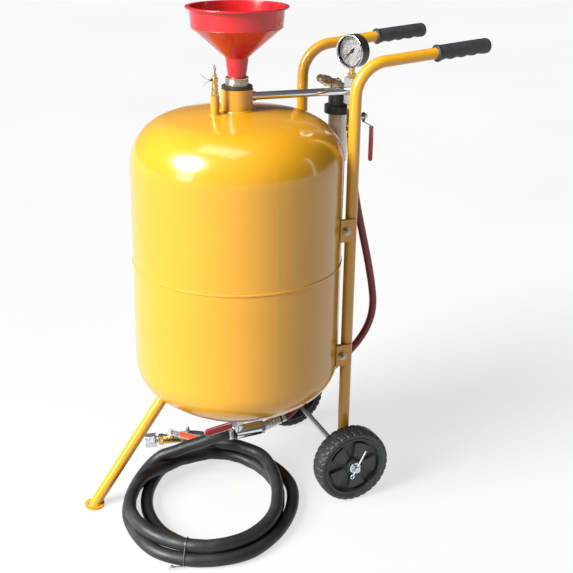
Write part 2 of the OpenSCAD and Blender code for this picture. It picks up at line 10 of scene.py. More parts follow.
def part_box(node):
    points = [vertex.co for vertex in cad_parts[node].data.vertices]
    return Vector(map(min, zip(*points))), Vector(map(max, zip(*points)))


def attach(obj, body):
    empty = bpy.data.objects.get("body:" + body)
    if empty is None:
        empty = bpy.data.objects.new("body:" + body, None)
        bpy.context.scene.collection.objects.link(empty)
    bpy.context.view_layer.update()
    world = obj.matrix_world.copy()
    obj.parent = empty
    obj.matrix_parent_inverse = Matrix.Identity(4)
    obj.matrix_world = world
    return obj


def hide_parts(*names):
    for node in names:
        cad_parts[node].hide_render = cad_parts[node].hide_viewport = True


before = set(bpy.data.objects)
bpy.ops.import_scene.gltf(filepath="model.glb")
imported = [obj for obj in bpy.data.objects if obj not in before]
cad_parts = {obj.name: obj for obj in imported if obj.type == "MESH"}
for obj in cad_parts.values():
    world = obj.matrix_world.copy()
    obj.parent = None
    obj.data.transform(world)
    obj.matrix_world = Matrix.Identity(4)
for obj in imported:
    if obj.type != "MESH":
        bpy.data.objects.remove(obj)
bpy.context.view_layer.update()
scene = bpy.context.scene
scene.view_settings.view_transform = "Standard"

neck_lo, neck_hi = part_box("filler_neck")
AXIS_X, AXIS_Y = (neck_lo.x + neck_hi.x) / 2, (neck_lo.y + neck_hi.y) / 2


def at(x, y, z):
    """A point given in mm from the tank's axis, as the CAD lays it out, in metres in the row frame."""
    return Vector((AXIS_X + x / 1000, AXIS_Y + y / 1000, z / 1000))


# ---------------------------------------------------------------- camera

cam_data = bpy.data.cameras.new("camera")
cam_data.lens, cam_data.sensor_width = 61.43, 36
cam_data.shift_x, cam_data.shift_y = 0.0864, -0.141
camera = bpy.data.objects.new("camera", cam_data)
scene.collection.objects.link(camera)
camera.location = at(1647.7, -629.4, 1162.5)
camera.rotation_euler = (at(0, 0, 587.3) - camera.location).to_track_quat("-Z", "Y").to_euler()
scene.camera = camera


# ---------------------------------------------------------------- materials

def shader(name):
    m = bpy.data.materials.new(name)
    m.use_nodes = True
    nodes = m.node_tree.nodes
    return m, nodes, m.node_tree.links, nodes["Principled BSDF"]


def noise(nodes, links, scale, detail=3.0, stretch=None):
    """A noise texture in the object's own coordinates; stretch makes it longer along an axis."""
    coord = nodes.new("ShaderNodeTexCoord")
    tex = nodes.new("ShaderNodeTexNoise")
    tex.inputs["Scale"].default_value = scale
    tex.inputs["Detail"].default_value = detail
    if stretch:
        mapping = nodes.new("ShaderNodeMapping")
        mapping.inputs["Scale"].default_value = stretch
        links.new(coord.outputs["Object"], mapping.inputs["Vector"])
        links.new(mapping.outputs["Vector"], tex.inputs["Vector"])
    else:
        links.new(coord.outputs["Object"], tex.inputs["Vector"])
    return tex


def ramp(nodes, links, source, stops):
    """A colour ramp driven by source; stops are (position, colour)."""
    r = nodes.new("ShaderNodeValToRGB")
    elements = r.color_ramp.elements
    while len(elements) < len(stops):
        elements.new(0.5)
    for e, (where, colour) in zip(elements, stops):
        e.position = where
        e.color = (*colour, 1)
    links.new(source, r.inputs["Fac"])
    return r.outputs["Color"]


def spread(nodes, links, source, low, high):
    r = nodes.new("ShaderNodeMapRange")
    r.inputs["From Min"].default_value = 0.3
    r.inputs["From Max"].default_value = 0.7
    r.inputs["To Min"].default_value = low
    r.inputs["To Max"].default_value = high
    links.new(source, r.inputs["Value"])
    return r.outputs["Result"]


def bump(nodes, links, bsdf, source, strength, distance):
    b = nodes.new("ShaderNodeBump")
    b.inputs["Strength"].default_value = strength
    b.inputs["Distance"].default_value = distance
    links.new(source, b.inputs["Height"])
    links.new(b.outputs["Normal"], bsdf.inputs["Normal"])
    return b


def shade(colour, k):
    return tuple(min(1.0, max(0.0, c * k)) for c in colour)


def finish_of(name, colour, rough, metal=0.0, mottle=0.08, patch=14.0, grain=900.0, relief=0.08,
              depth=0.0003, rough_swing=0.06, stretch=None, **sockets):
    """A material with colour mottling, uneven gloss and a fine surface relief."""
    m, nodes, links, bsdf = shader(name)
    wide = noise(nodes, links, patch, 4.0, stretch)
    fine = noise(nodes, links, grain, 2.0, stretch)
    tint = ramp(nodes, links, wide.outputs["Fac"],
                [(0.3, shade(colour, 1 - mottle)), (0.7, shade(colour, 1 + mottle))])
    links.new(tint, bsdf.inputs["Base Color"])
    gloss = noise(nodes, links, patch * 3.1, 5.0)
    links.new(spread(nodes, links, gloss.outputs["Fac"], max(0.02, rough - rough_swing), rough + rough_swing),
              bsdf.inputs["Roughness"])
    bump(nodes, links, bsdf, fine.outputs["Fac"], relief, depth)
    bsdf.inputs["Metallic"].default_value = metal
    for key, value in sockets.items():
        bsdf.inputs[key.replace("_", " ")].default_value = value
    return m


YELLOW = (0.49, 0.232, 0.008)
paint = finish_of("yellow_enamel", YELLOW, 0.22, mottle=0.035, patch=9.0, grain=260.0, relief=0.10,
                  depth=0.0004, rough_swing=0.05, Coat_Weight=0.45, Coat_Roughness=0.06)
weld_paint = finish_of("yellow_enamel_on_weld", YELLOW, 0.28, mottle=0.07, patch=160.0, grain=420.0,
                       relief=0.35, depth=0.001, Coat_Weight=0.5, Coat_Roughness=0.12)
red_plastic = finish_of("red_moulded_plastic", (0.44, 0.008, 0.011), 0.27, mottle=0.05, patch=22.0,
                        grain=500.0, relief=0.06, Coat_Weight=0.35, Coat_Roughness=0.12,
                        Subsurface_Weight=0.06)
red_vinyl = finish_of("red_dipped_vinyl", (0.30, 0.013, 0.013), 0.38, mottle=0.08, patch=60.0,
                      grain=700.0, relief=0.12)
orange_vinyl = finish_of("orange_dipped_vinyl", (0.60, 0.050, 0.020), 0.34, mottle=0.06, patch=60.0,
                         grain=700.0, relief=0.12)
zinc = finish_of("zinc_plated_steel", (0.62, 0.64, 0.66), 0.30, 1.0, mottle=0.10, patch=120.0,
                 grain=1400.0, relief=0.10, rough_swing=0.10)
dark_steel = finish_of("oiled_steel", (0.20, 0.20, 0.21), 0.36, 1.0, mottle=0.2, patch=120.0,
                       grain=1400.0, relief=0.15, rough_swing=0.10)
bolt_steel = finish_of("yellow_passivated_bolt", (0.42, 0.36, 0.24), 0.32, 1.0, mottle=0.25, patch=150.0,
                       grain=1400.0, relief=0.12, rough_swing=0.10)
chrome = finish_of("bright_chrome", (0.74, 0.75, 0.77), 0.09, 1.0, mottle=0.03, patch=40.0,
                   grain=900.0, relief=0.02, rough_swing=0.04)
brass = finish_of("turned_brass", (0.60, 0.40, 0.14), 0.26, 1.0, mottle=0.16, patch=110.0,
                  grain=1500.0, relief=0.12, rough_swing=0.10)
nickel = finish_of("nickel_on_brass", (0.52, 0.44, 0.30), 0.22, 1.0, mottle=0.16, patch=90.0,
                   grain=1300.0, relief=0.10, rough_swing=0.08)
aluminium = finish_of("machined_aluminium", (0.70, 0.70, 0.69), 0.34, 0.85, mottle=0.05, patch=60.0,
                      grain=700.0, relief=0.10, stretch=(1.0, 1.0, 9.0), rough_swing=0.08)
bowl_metal = finish_of("satin_filter_bowl", (0.62, 0.57, 0.47), 0.36, 0.8, mottle=0.09, patch=30.0,
                       grain=900.0, relief=0.12, stretch=(1.0, 1.0, 14.0), rough_swing=0.08)
black_plastic = finish_of("black_moulded_plastic", (0.022, 0.022, 0.024), 0.36, mottle=0.2, patch=60.0,
                          grain=1100.0, relief=0.16)
wheel_plastic = finish_of("wheel_polypropylene", (0.020, 0.021, 0.023), 0.40, mottle=0.25, patch=40.0,
                          grain=900.0, relief=0.20)
grip_rubber = finish_of("grip_rubber", (0.020, 0.021, 0.024), 0.50, mottle=0.25, patch=70.0,
                        grain=1300.0, relief=0.35)
black_rubber = finish_of("black_rubber", (0.020, 0.020, 0.021), 0.55, mottle=0.25, patch=70.0,
                         grain=1000.0, relief=0.25)
needle_black = finish_of("needle_enamel", (0.012, 0.012, 0.012), 0.40, mottle=0.2, patch=200.0)
dial_white = finish_of("dial_enamel", (0.56, 0.56, 0.55), 0.42, mottle=0.02, patch=200.0, relief=0.03)
dial_black = finish_of("dial_ink", (0.015, 0.015, 0.016), 0.5, mottle=0.1, patch=300.0)
dial_red = finish_of("dial_red_ink", (0.60, 0.02, 0.02), 0.5, mottle=0.1, patch=300.0)


def hose_rubber():
    """Black hose rubber with a cloth-wrapped bloom: fine windings and soft grey handling marks."""
    m, nodes, links, bsdf = shader("wrapped_hose_rubber")
    wide = noise(nodes, links, 16.0, 5.0)
    links.new(ramp(nodes, links, wide.outputs["Fac"],
                   [(0.32, (0.009, 0.010, 0.011)), (0.55, (0.014, 0.0155, 0.017)),
                    (0.78, (0.030, 0.032, 0.034))]),
              bsdf.inputs["Base Color"])
    smear = noise(nodes, links, 34.0, 6.0)
    links.new(spread(nodes, links, smear.outputs["Fac"], 0.36, 0.56), bsdf.inputs["Roughness"])
    coord = nodes.new("ShaderNodeTexCoord")
    weave = nodes.new("ShaderNodeTexVoronoi")
    weave.inputs["Scale"].default_value = 620
    links.new(coord.outputs["Object"], weave.inputs["Vector"])
    bump(nodes, links, bsdf, weave.outputs["Distance"], 0.22, 0.0004)
    bsdf.inputs["Specular IOR Level"].default_value = 0.36
    return m


def red_hose_rubber():
    m, nodes, links, bsdf = shader("smooth_red_hose")
    wide = noise(nodes, links, 26.0, 4.0)
    links.new(ramp(nodes, links, wide.outputs["Fac"],
                   [(0.3, (0.13, 0.009, 0.013)), (0.7, (0.20, 0.014, 0.020))]), bsdf.inputs["Base Color"])
    fine = noise(nodes, links, 420.0, 2.0, (1.0, 1.0, 0.12))
    links.new(spread(nodes, links, wide.outputs["Fac"], 0.30, 0.44), bsdf.inputs["Roughness"])
    bump(nodes, links, bsdf, fine.outputs["Fac"], 0.16, 0.0004)
    return m


def tyre_rubber():
    """Dull tyre rubber, with dust in random patches."""
    m, nodes, links, bsdf = shader("tyre_rubber")
    dust = noise(nodes, links, 55.0, 6.0)
    links.new(ramp(nodes, links, dust.outputs["Fac"],
                   [(0.35, (0.016, 0.017, 0.018)), (0.62, (0.026, 0.027, 0.029)),
                    (0.8, (0.055, 0.055, 0.057))]),
              bsdf.inputs["Base Color"])
    links.new(spread(nodes, links, dust.outputs["Fac"], 0.42, 0.62), bsdf.inputs["Roughness"])
    grain = noise(nodes, links, 900.0, 3.0)
    bump(nodes, links, bsdf, grain.outputs["Fac"], 0.3, 0.0004)
    return m


def lens_glass():
    m, nodes, links, bsdf = shader("gauge_glass")
    smear = noise(nodes, links, 90.0, 4.0)
    links.new(spread(nodes, links, smear.outputs["Fac"], 0.01, 0.05), bsdf.inputs["Roughness"])
    bsdf.inputs["Base Color"].default_value = (0.97, 0.99, 1.0, 1)
    bsdf.inputs["Transmission Weight"].default_value = 1.0
    bsdf.inputs["IOR"].default_value = 1.05
    return m


blast_rubber, red_rubber = hose_rubber(), red_hose_rubber()
tread_rubber, glass = tyre_rubber(), lens_glass()

NODE_MATERIAL = {
    "tank_upper_shell": paint, "tank_lower_shell": paint, "girth_weld": weld_paint, "filler_neck": paint,
    "neck_gasket": black_rubber, "funnel_collar": nickel, "funnel": red_plastic,
    "closing_plunger": black_rubber, "relief_socket": paint, "relief_valve_body": brass,
    "relief_rod": dark_steel, "feed_pipe": chrome, "tank_tabs": paint, "upper_bolts": bolt_steel,
    "lower_bolts": bolt_steel, "front_leg": paint, "foot_disc": paint, "outlet_nipple": zinc,
    "left_upright": paint, "right_upright": paint, "axle": zinc, "split_pins": zinc,
    "left_wheel": wheel_plastic, "right_wheel": wheel_plastic, "manifold_block": aluminium,
    "gauge_stem": brass, "gauge_case": black_plastic, "gauge_bezel": chrome, "gauge_dial": dial_white,
    "gauge_lens": glass, "gauge_needle": needle_black, "filter_head": black_plastic,
    "filter_ring": black_plastic, "filter_bowl": bowl_metal, "drain_cock": brass,
    "inlet_valve_body": nickel, "inlet_nipple": brass, "inlet_ball": zinc, "inlet_lever": zinc,
    "hose_valve_body": nickel, "hose_ball": zinc, "hose_lever": dark_steel,
    "metering_valve_body": zinc, "metering_ball": zinc, "metering_lever": zinc, "mixing_tee": chrome,
    "hose_tail": zinc, "nozzle_valve_body": brass, "nozzle_ball": zinc, "nozzle_lever": zinc,
    "nozzle": zinc,
}
for name, mat in NODE_MATERIAL.items():
    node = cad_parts[name]
    node.data.materials.clear()
    node.data.materials.append(mat)


def soften(name, width, segments=2, angle=35):
    """Rounds a CAD node's hard edges with modifiers; its own mesh stays as packed."""
    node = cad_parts[name]
    weld = node.modifiers.new("weld", "WELD")
    weld.merge_threshold = 0.000002
    round_off = node.modifiers.new("round", "BEVEL")
    round_off.width = width / 1000
    round_off.segments = segments
    round_off.limit_method = "ANGLE"
    round_off.angle_limit = math.radians(angle)
    round_off.harden_normals = False
    normals = node.modifiers.new("normals", "WEIGHTED_NORMAL")
    normals.keep_sharp = True


for name, width in {
    "manifold_block": 1.0, "funnel_collar": 0.5, "neck_gasket": 1.2, "funnel": 0.9, "foot_disc": 0.8,
    "gauge_case": 1.2, "gauge_bezel": 0.7, "filter_head": 1.5, "filter_ring": 0.6, "drain_cock": 0.5,
    "upper_bolts": 0.5, "lower_bolts": 0.5, "gauge_stem": 0.4, "inlet_nipple": 0.5, "nozzle": 0.6,
    "hose_tail": 0.5, "mixing_tee": 0.6, "relief_valve_body": 0.4, "outlet_nipple": 0.5,
    "left_wheel": 0.8, "right_wheel": 0.8, "tank_tabs": 0.8, "filler_neck": 1.2,
    "metering_valve_body": 0.6, "hose_valve_body": 0.6, "nozzle_valve_body": 0.6,
    "inlet_valve_body": 0.6,
}.items():
    soften(name, width)


# ---------------------------------------------------------------- mesh helpers

def piece(name, verts, faces, mat, body, smooth=True):
    mesh = bpy.data.meshes.new(name)
    mesh.from_pydata([tuple(v) for v in verts], [], faces)
    mesh.validate()
    mesh.update()
    for p in mesh.polygons:
        p.use_smooth = smooth
    mesh.materials.append(mat)
    obj = bpy.data.objects.new(name, mesh)
    scene.collection.objects.link(obj)
    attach(obj, body)
    return obj


def join(*parts):
    """Several (vertices, faces) as one."""
    verts, faces = [], []
    for v, f in parts:
        k = len(verts)
        verts += list(v)
        faces += [tuple(i + k for i in face) for face in f]
    return verts, faces


def loft(rings, closed=False):
    """Rings of equal point count joined in order: capped at both ends, or closed on itself."""
    n = len(rings[0])
    verts = [p for ring in rings for p in ring]
    faces = []
    m = len(rings)
    for i in range(m if closed else m - 1):
        a, b = i * n, (i + 1) % m * n
        faces += [(a + k, a + (k + 1) % n, b + (k + 1) % n, b + k) for k in range(n)]
    if not closed:
        faces += [tuple(reversed(range(n))), tuple(range((m - 1) * n, m * n))]
    return verts, faces


def frames(points, closed=False):
    """A pair of cross axes at each point of a path, turned as little as possible along it."""
    n = len(points)
    tangents = []
    for i in range(n):
        a = points[(i - 1) % n] if closed or i else points[0]
        b = points[(i + 1) % n] if closed or i < n - 1 else points[-1]
        tangents.append((b - a).normalized())
    u = tangents[0].orthogonal().normalized()
    out = []
    for t in tangents:
        u = (u - t * u.dot(t)).normalized()
        out.append((u, t.cross(u)))
    return out


def sweep(points, radius, sides=12, closed=False):
    """A round tube along points; radius is a number or a function of the point's index."""
    rings = []
    for i, (p, (u, v)) in enumerate(zip(points, frames(points, closed))):
        r = radius(i) if callable(radius) else radius
        rings.append([p + u * (r * math.cos(a)) + v * (r * math.sin(a))
                      for a in (2 * math.pi * k / sides for k in range(sides))])
    return loft(rings, closed)


def axes(pos, z, x=None):
    """A frame at pos with its Z along z, and its X as near x as it can be."""
    z = Vector(z).normalized()
    x = Vector(x) if x is not None else z.orthogonal()
    x = (x - z * x.dot(z)).normalized()
    y = z.cross(x)
    m = Matrix((x, y, z)).transposed().to_4x4()
    m.translation = pos
    return m


def lathe(profile, m, n=64, closed=True):
    """A profile of (radius, height) in mm turned round m's Z axis."""
    rings = [[m @ Vector((r * math.cos(a) / 1000, r * math.sin(a) / 1000, z / 1000)) for r, z in profile]
             for a in (2 * math.pi * k / n for k in range(n))]
    verts = [p for ring in rings for p in ring]
    k = len(profile)
    last = k if closed else k - 1
    faces = [(i * k + j, (i + 1) % n * k + j, (i + 1) % n * k + (j + 1) % k, i * k + (j + 1) % k)
             for i in range(n) for j in range(last)]
    return verts, faces


def bead(points, radius, ripple=0.16, pitch=5):
    """A weld bead along a closed path, with its overlapping ripples."""
    return sweep(points, lambda i: radius * (1 + ripple * (i % pitch) / pitch), 10, closed=True)


def smooth_line(points, step):
    """A centripetal Catmull-Rom line through points, resampled about every step metres."""
    p = np.array([tuple(q) for q in points], float)
    p = np.vstack([2 * p[0] - p[1], p, 2 * p[-1] - p[-2]])
    out = []
    for i in range(1, len(p) - 2):
        q = p[i - 1:i + 3]
        t = np.concatenate([[0], np.cumsum(np.sqrt(np.linalg.norm(np.diff(q, axis=0), axis=1)))])
        for s in np.linspace(t[1], t[2], 24, endpoint=False):
            a = [(t[k + 1] - s) / (t[k + 1] - t[k]) * q[k] + (s - t[k]) / (t[k + 1] - t[k]) * q[k + 1]
                 for k in range(3)]
            b = [(t[k + 2] - s) / (t[k + 2] - t[k]) * a[k] + (s - t[k]) / (t[k + 2] - t[k]) * a[k + 1]
                 for k in range(2)]
            out.append((t[2] - s) / (t[2] - t[1]) * b[0] + (s - t[1]) / (t[2] - t[1]) * b[1])
    out = np.array(out + [p[-2]])
    along = np.concatenate([[0], np.cumsum(np.linalg.norm(np.diff(out, axis=0), axis=1))])
    count = int(round(along[-1] / step))
    even = np.linspace(0, along[-1], count + 1)
    return np.stack([np.interp(even, along, out[:, k]) for k in range(3)], 1)


def curve(name, points, diameter, mat, body):
    """A hose as one open spline with a round bevel."""
    data = bpy.data.curves.new(name, "CURVE")
    data.dimensions = "3D"
    data.bevel_depth = diameter / 2
    data.bevel_resolution = 8
    data.use_fill_caps = True
    data.resolution_u = 4
    spline = data.splines.new("BEZIER")
    spline.bezier_points.add(len(points) - 1)
    for b, p in zip(spline.bezier_points, points):
        b.co = p
        b.handle_left_type = b.handle_right_type = "AUTO"
    data.materials.append(mat)
    obj = bpy.data.objects.new(name, data)
    scene.collection.objects.link(obj)
    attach(obj, body)
    return obj


# ---------------------------------------------------------------- hoses

BLAST_D, AIR_D = 0.0245, 0.015
BLAST_EXIT, AIR_EXIT = (0, -4, 99), (30, 222, 722)
COIL = (94, -85)
TIE_ANGLE = 323


def settle(line, start_held, end_held, rounds=250):
    """Lets a coiled hose sink onto the floor and onto itself, keeping its length and its own bend."""
    q, rest, n = line.copy(), line.copy(), len(line)
    step = np.linalg.norm(np.diff(q, axis=0), axis=1).mean()
    index = np.arange(n)
    far = np.abs(index[:, None] - index[None]) * step > 2.2 * BLAST_D
    held = (index < start_held) | (index >= n - end_held)
    m = 4
    bend = (rest[2 * m:] + rest[:-2 * m]) / 2 - rest[m:-m]
    for k in range(rounds):
        d = q[:, None] - q[None]
        gap = np.linalg.norm(d, axis=2) + 1e-12
        inside = np.where(far & (gap < BLAST_D), BLAST_D - gap, 0)
        touching = np.maximum((inside > 0).sum(1), 1)[:, None]
        q += (d / gap[..., None] * inside[..., None]).sum(1) / touching / 2
        if k < rounds * 0.8:
            q[:, 2] -= 0.00012
        q[:, :2] += 0.02 * (rest[:, :2] - q[:, :2])
        q[m:-m] += 0.25 * ((q[2 * m:] + q[:-2 * m]) / 2 - q[m:-m] - bend)
        for _ in range(4):
            e = np.diff(q, axis=0)
            pull = e * (1 - step / np.linalg.norm(e, axis=1)[:, None]) * 0.45
            q[:-1] += pull
            q[1:] -= pull
        q[:, 2] = np.maximum(q[:, 2], BLAST_D / 2)
        q[held] = rest[held]
    return q


def blast_route():
    """Out of the tee, over the pile and down to the floor, three turns, and up to the nozzle valve."""
    lead = [BLAST_EXIT, (0, -18, 99), (-1, -34, 98), (-4, -56, 93), (-12, -80, 83), (-23, -103, 69),
            (-33, -124, 55), (-43, -146, 41)]
    first = [(211, 158, 28), (225, 161, 18), (242, 163, 12.25), (268, 168, 12.25), (300, 177, 12.25),
             (318, 176, 12.25), (336, 171, 12.25), (362, 165, 12.25), (385, 154, 12.25), (410, 150, 12.25),
             (432, 156, 12.25), (452, 166, 12.25), (475, 174, 12.25), (500, 182, 12.25), (525, 184, 12.25),
             (545, 176, 12.25)]
    second = [(562, 160, 12.25), (580, 144, 12.25), (603, 133, 12.25), (630, 129, 12.25), (660, 134, 12.25),
              (696, 144, 12.25), (730, 135, 12.25), (765, 126, 12.25), (791, 128, 13), (820, 142, 20),
              (850, 157, 30), (875, 163, 36.75), (900, 153, 37)]
    third = [(925, 146, 37), (955, 155, 37), (990, 168, 37), (1020, 168, 35), (1056, 165, 33),
             (1085, 150, 35), (1115, 135, 40), (1146, 125, 45), (1175, 133, 52), (1200, 152, 56)]
    tail = [(-26, 14, 56), (-45, -12, 54), (-65, -33, 51), (-84, -47, 49), (-97.4, -63, 47.4),
            (-103.2, -77.3, 45.5)]
    turns = [(COIL[0] + r * math.cos(math.radians(a)), COIL[1] + r * math.sin(math.radians(a)), z)
             for a, r, z in first + second + third]
    return [at(*p) for p in lead + turns + tail]


blast_line = settle(smooth_line(blast_route(), 0.006), 14, 10)
every_third = [Vector(p) for p in blast_line[:-2:3]] + [Vector(blast_line[-1])]
blast_hose = curve("blast_hose", every_third, BLAST_D, blast_rubber, "machine")
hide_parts("blast_hose_lead", "blast_hose_coil", "blast_hose_end")

RED_ROUTE = [
    AIR_EXIT, (30, 222, 700), (30, 225, 665), (30, 230, 625), (30, 237, 585), (30, 246, 545),
    (30, 256, 505), (30, 266, 465), (30, 275, 425), (30, 282, 388), (29, 286, 350), (27, 281, 314),
    (24, 266, 281), (20, 245, 253), (15, 220, 227), (10, 193, 200), (6, 167, 172), (3, 144, 145),
    (1, 126, 125), (0, 111, 113), (0, 95, 109),
]
red_hose = curve("air_hose", [at(*p) for p in RED_ROUTE], AIR_D, red_rubber, "machine")
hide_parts("red_hose")


def clamp(name, centre, direction, radius, screw_side):
    """A worm-drive hose clamp: a plain band, the screw housing and a hexagon screw."""
    m = axes(centre, direction, screw_side)
    band = lathe([(radius, -4.5), (radius + 0.8, -4.2), (radius + 0.9, 0), (radius + 0.8, 4.2),
                  (radius, 4.5)], m, 72)
    low, high = radius + 0.3, radius + 5.2
    shell = [(low, -4.6), (low + 2.6, -4.6), (high, -2.8), (high + 0.5, 0), (high, 2.8), (low + 2.6, 4.6),
             (low, 4.6)]
    housing = loft([[m @ Vector((x / 1000, y / 1000, z / 1000)) for x, z in shell]
                    for y in (-5, -4.4, 4.4, 5)])
    core = m @ Matrix.Translation(((radius + 3.0) / 1000, 0, 0)) @ Matrix.Rotation(-math.pi / 2, 4, "X")
    shank = lathe([(0.01, -8), (2.2, -8), (2.2, 6), (0.01, 6)], core, 20)
    head = lathe([(0.01, 6), (3.6, 6), (3.9, 6.6), (3.9, 9.4), (3.4, 10), (1.8, 10), (1.6, 9.2), (0.01, 9.2)],
                 core, 6)
    verts, faces = join(band, housing, shank, head)
    return piece(name, verts, faces, zinc, "machine", smooth=False)


def sample(line, k):
    """Point and direction at index k of a line."""
    a, b = Vector(line[max(k - 1, 0)]), Vector(line[min(k + 1, len(line) - 1)])
    return Vector(line[k]), (b - a).normalized()


p, d = sample(blast_line, 2)
lead_clamp = clamp("clamp_tee", p, d, 12.35, (1, 0, 0.4))
p, d = sample(blast_line, len(blast_line) - 2)
end_clamp = clamp("clamp_nozzle", p, d, 12.35, (0.3, 0.4, 1))
red_top = clamp("clamp_air_top", at(30, 222, 712), (0, 0, -1), 7.6, (0.4, 1, 0))
red_low = clamp("clamp_air_low", at(0, 103, 111), (0, 16, 4), 7.6, (0, 0, 1))


def stadium(a, b, normal, radius, count=44):
    """A closed loop of thin wire drawn tight round two strands with centres a and b."""
    across = (b - a).normalized()
    up = normal.cross(across).normalized()
    out = []
    for k in range(count):
        t = 2 * math.pi * k / count
        d = across * math.cos(t) + up * math.sin(t)
        out.append((b if math.cos(t) > 0 else a) + d * radius)
    return out


def wire_tie():
    """A wire tie round the two strands at the front of the coil, its twisted ends outside it."""
    centre = at(COIL[0], COIL[1], 0)
    angles = np.degrees(np.arctan2(blast_line[:, 1] - centre.y, blast_line[:, 0] - centre.x)) % 360
    along = np.arange(len(blast_line))
    low = min(along[along < len(along) * 0.4], key=lambda i: abs(angles[i] - TIE_ANGLE))
    top = min(along[along > len(along) * 0.65], key=lambda i: abs(angles[i] - TIE_ANGLE))
    a, normal = sample(blast_line, low)
    b = Vector(blast_line[top])
    b = b - normal * (b - a).dot(normal)
    loop = [Vector((p.x, p.y, max(p.z, 0.0011))) for p in stadium(a, b, normal, BLAST_D / 2 + 0.0009)]
    wire = sweep(loop, 0.0009, 8, closed=True)
    out = a - centre
    out.z = 0
    out.normalize()
    side = Vector((-out.y, out.x, 0))
    start = a + out * (BLAST_D / 2 + 0.001) + Vector((0, 0, -0.006))
    strands = []
    for turn in (0, math.pi):
        path = []
        for k in range(26):
            s = k / 25
            core = start + out * (0.005 * s) - side * (0.022 * s) + Vector((0, 0, -0.0035 * s))
            flare = 0.0011 + 0.004 * max(0, s - 0.65) / 0.35
            w = turn + s * 7 * math.pi
            offset = out * math.cos(w) * flare + Vector((0, 0, 1)) * abs(math.sin(w)) * flare
            path.append(core + offset)
        strands.append(sweep(path, 0.0008, 8))
    verts, faces = join(wire, *strands)
    return piece("coil_wire_tie", verts, faces, dark_steel, "machine")


tie = wire_tie()


# ---------------------------------------------------------------- welds on the tank and truck

shell_tree = BVHTree.FromPolygons(
    [v.co.copy() for n in ("tank_upper_shell", "tank_lower_shell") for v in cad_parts[n].data.vertices],
    [tuple(i + k for i in p.vertices) for n, k in
     (("tank_upper_shell", 0), ("tank_lower_shell", len(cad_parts["tank_upper_shell"].data.vertices)))
     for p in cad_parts[n].data.polygons])


def foot_line(m, radius, start, reach, count=96):
    """Where a round tube along m's Z meets the tank: rays from beside the tube onto the shell."""
    points = []
    for k in range(count):
        a = 2 * math.pi * k / count
        origin = m @ Vector((radius * math.cos(a), radius * math.sin(a), start))
        hit = shell_tree.ray_cast(origin, m.to_3x3() @ Vector((0, 0, 1 if reach > 0 else -1)), abs(reach))[0]
        if hit is not None:
            points.append(hit)
    return points


up = axes(at(0, 0, 0), (0, 0, 1))
verts, faces = bead(foot_line(up, 0.0308, 0.82, -0.2, 120), 0.0026)
piece("weld_neck", verts, faces, weld_paint, "machine")
relief_axis = axes(at(20, -50, 0), (0, 0, 1))
verts, faces = bead(foot_line(relief_axis, 0.0085, 0.82, -0.2, 48), 0.0018)
piece("weld_relief_socket", verts, faces, weld_paint, "machine")
leg_foot, leg_top = at(0, -301, 4), at(0, -166, 195)
leg_axis = axes(leg_foot, leg_top - leg_foot)
verts, faces = bead(foot_line(leg_axis, 0.0113, 0.10, 0.35, 72), 0.0024)
piece("weld_leg", verts, faces, weld_paint, "machine")
slope = leg_axis.to_3x3() @ Vector((0, 0, 1))
foot_ring = []
for k in range(60):
    a = 2 * math.pi * k / 60
    p = leg_axis @ Vector((0.0112 * math.cos(a), 0.0112 * math.sin(a), 0))
    foot_ring.append(p + slope * ((0.0044 - p.z) / slope.z))
verts, faces = bead(foot_ring, 0.0018)
piece("weld_foot", verts, faces, weld_paint, "machine")



def plate_seam(s, z, count=40):
    """The path of the weld at the edge of one tank tab: s is its side, z its height in mm."""
    return [at(s * 125.2, 174 + 0.6 * math.cos(t), z + 21 * math.sin(t))
            for t in (2 * math.pi * k / count for k in range(count))]


verts, faces = join(*[bead(plate_seam(s, z), 0.0014) for s in (-1, 1) for z in (557, 302)])
piece("weld_plates", verts, faces, weld_paint, "machine")


# ---------------------------------------------------------------- tyres

def tyre(name, node, body, sign):
    """A moulded tyre: rounded sidewalls, a plain middle rib and staggered shoulder blocks."""
    lo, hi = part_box(node)
    centre = (lo + hi) / 2
    half = [(61.9, 16.2), (63.2, 17.4), (64.4, 17.7), (65.2, 18.5), (67.5, 18.9), (70.0, 18.9), (71.6, 18.4),
            (73.2, 17.0), (74.1, 14.6), (74.5, 11.5), (74.7, 8.2), (74.7, 6.6), (74.9, 5.6), (75.0, 2.5)]
    profile = [(r, -u) for r, u in half] + [(75.0, 0.0)] + [(r, u) for r, u in reversed(half)]
    count, blocks = 320, 32
    m = axes(centre, (sign, 0, 0), (0, 0, 1))
    rings = []
    for k in range(count):
        a = 2 * math.pi * k / count
        ring = []
        for r, u in profile:
            where = (k / count * blocks + (0.5 if u < 0 else 0) + abs(u) * 0.012) % 1.0
            groove = max(0.0, min(1.0, (0.5 - abs(where - 0.5) - 0.36) / 0.06))
            if abs(u) > 6.8 and r > 70.5:
                r -= 3.0 * groove * min(1.0, (r - 70.2) / 2.5)
            ring.append(m @ Vector((r * math.cos(a) / 1000, r * math.sin(a) / 1000, u / 1000)))
        rings.append(ring)
    verts, faces = loft(rings, closed=True)
    obj = piece(name, verts, faces, tread_rubber, body)
    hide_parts(node)


tyre("tyre_left", "left_tyre", "left_wheel", -1)
tyre("tyre_right", "right_tyre", "right_wheel", 1)


def washers():
    """Plain washers on the axle, outside each hub and between each hub and its upright."""
    parts = []
    for s in (-1, 1):
        for x0, x1, r in ((169.8, 171.4, 11.5), (125.4, 126.9, 12.5)):
            m = axes(at(s * x0, 184, 75), (s, 0, 0))
            t = x1 - x0
            profile = [(6.1, 0), (r - 0.4, 0), (r, 0.4), (r, t - 0.4), (r - 0.4, t), (6.1, t)]
            parts.append(lathe(profile, m, 56))
    verts, faces = join(*parts)
    piece("axle_washers", verts, faces, zinc, "machine", smooth=False)


washers()


# ---------------------------------------------------------------- grips

